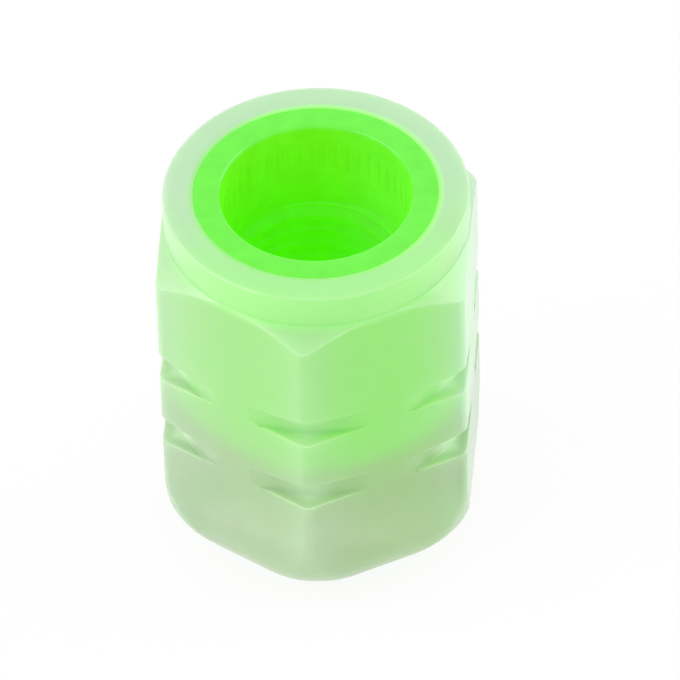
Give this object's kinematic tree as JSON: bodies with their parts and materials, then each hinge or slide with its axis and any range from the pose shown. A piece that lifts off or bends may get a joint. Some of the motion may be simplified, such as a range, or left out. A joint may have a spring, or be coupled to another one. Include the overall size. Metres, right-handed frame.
{
  "type": "tyre valve cap",
  "caption": "Translucent hexagonal cap with turned grooves round a bright threaded insert, closed at one end, that screws onto a tyre's valve stem.",
  "frame": {"origin": "centre of the flat on the closed end, which the cap stands on", "axes": "+Z along the bore axis out of the mouth; two corners of the hexagon lie on the Y axis"},
  "size_m": [0.013, 0.0148, 0.018],
  "materials": {
    "shell": "milky translucent moulding",
    "insert": "fluorescent green moulding"
  },
  "bodies": {
    "root": {"shell": "shell", "insert": "insert"}
  },
  "joints": []
}
